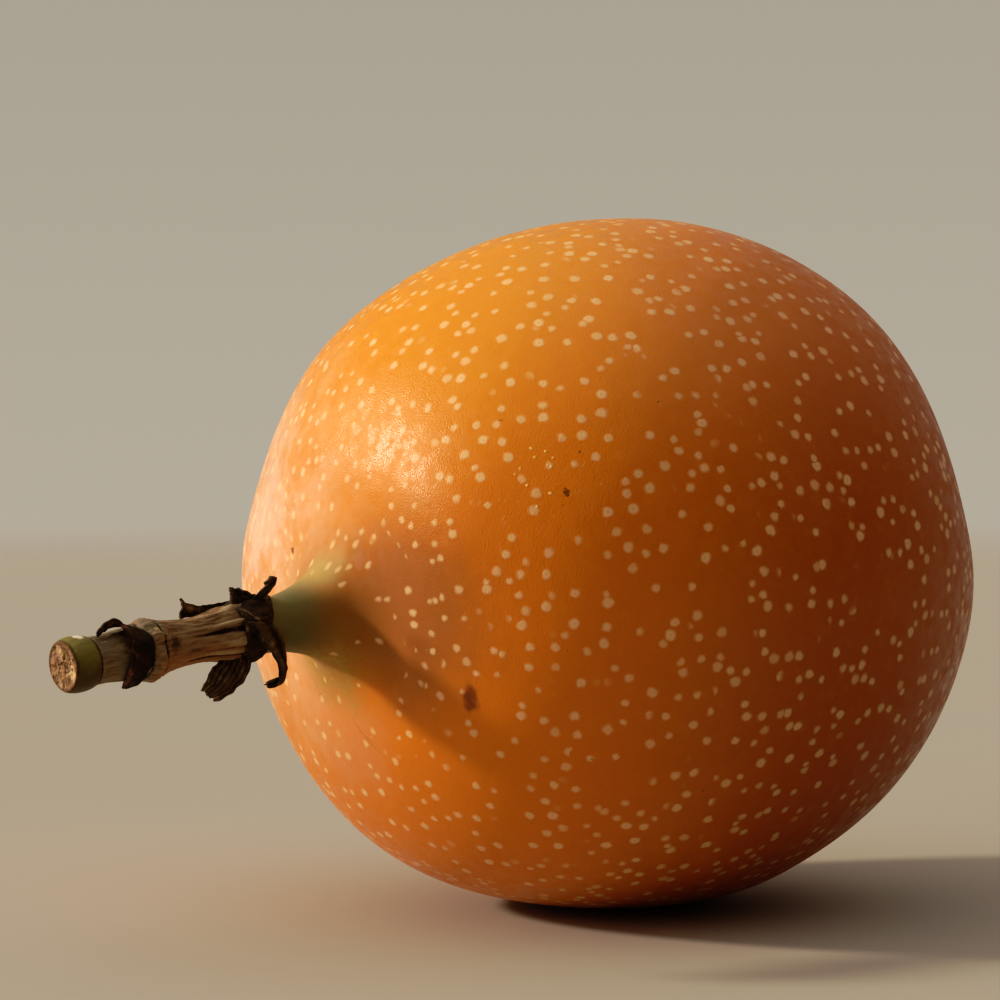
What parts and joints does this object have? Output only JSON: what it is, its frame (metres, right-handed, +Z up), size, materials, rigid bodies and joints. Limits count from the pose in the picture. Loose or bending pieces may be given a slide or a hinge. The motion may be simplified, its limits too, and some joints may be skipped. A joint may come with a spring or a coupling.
{
  "type": "sweet granadilla passion fruit",
  "caption": "Whole orange passion fruit lying on its side on a small flat spot, with an olive neck, dried flower remains and a short cut stalk.",
  "frame": {"origin": "middle of the flat spot that the fruit rests on", "axes": "+Z up from the table, +X along the fruit towards its blossom end, so the stalk points to -X, and +Y level across it"},
  "size_m": [0.0914, 0.064, 0.063],
  "materials": {
    "rind": "waxy satin skin with cream dots",
    "dried_flower": "dry, crumpled, matt",
    "stalk_bark": "dry ribbed bark, green at the cut end",
    "dried_sepal": "dry, pleated, matt",
    "dried_bract": "dry, slightly glossy"
  },
  "bodies": {
    "root": {"fruit": "rind", "flower_collar": "dried_flower", "stalk": "stalk_bark", "sepal_back": "dried_sepal", "sepal_peak": "dried_sepal", "sepal_curl": "dried_sepal", "sepal_hook": "dried_sepal", "sepal_fan": "dried_sepal", "bract_curl": "dried_bract"}
  },
  "joints": []
}
